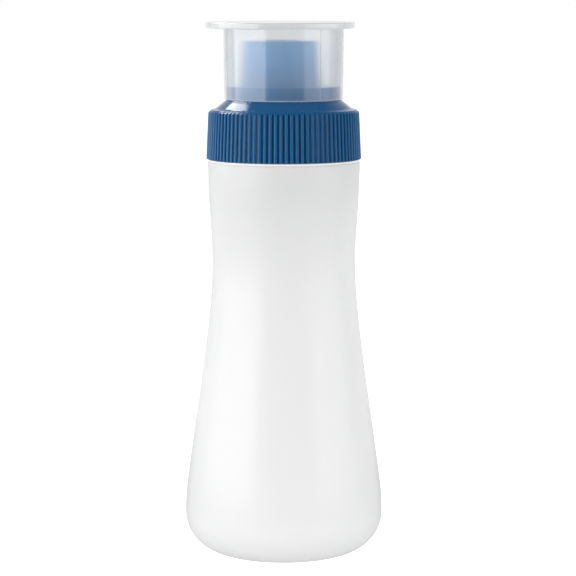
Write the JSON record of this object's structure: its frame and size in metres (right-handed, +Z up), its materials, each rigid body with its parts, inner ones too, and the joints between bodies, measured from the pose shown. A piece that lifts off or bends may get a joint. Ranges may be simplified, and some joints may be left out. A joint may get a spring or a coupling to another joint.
{
  "type": "condiment squeeze bottle",
  "caption": "Waisted milky squeeze bottle with a ribbed blue screw closure, slit valve in its turret and a frosted push-on overcap with a wide standing disc.",
  "frame": {"origin": "on the surface that the bottle stands on, on the axis of the body and neck", "axes": "+Z up along the bottle's axis, front towards -Y, +X to the right of the picture"},
  "size_m": [0.0702, 0.0702, 0.1884],
  "materials": {
    "milky_polyethylene": "satin, milky and slightly see-through",
    "white_elastomer": "smooth matt",
    "blue_polypropylene": "glossy moulded blue",
    "clear_silicone": "milky clear silicone",
    "white_polypropylene": "smooth moulded white",
    "frosted_polypropylene": "frosted, see-through"
  },
  "bodies": {
    "bottle": {"bottle": "milky_polyethylene"},
    "gasket": {"gasket": "white_elastomer"},
    "closure": {"closure": "blue_polypropylene", "valve": "clear_silicone", "valve_retainer": "white_polypropylene"},
    "overcap": {"overcap": "frosted_polypropylene"}
  },
  "joints": [
    {"name": "closure_lift", "type": "slide", "parent": "bottle", "child": "gasket", "axis": [0, 0, 1], "range_m": [0, 0.018]},
    {"name": "closure_turn", "type": "hinge", "parent": "gasket", "child": "closure", "pos_m": [0, 0, 0.1486], "axis": [0, 0, 1], "range_deg": [0, 720]},
    {"name": "overcap_pull", "type": "slide", "parent": "closure", "child": "overcap", "axis": [0, 0, 1], "range_m": [0, 0.03]}
  ],
  "couplings": [
    {"joint": "closure_lift", "follows": "closure_turn", "m_per_rad": 0.0014324}
  ]
}
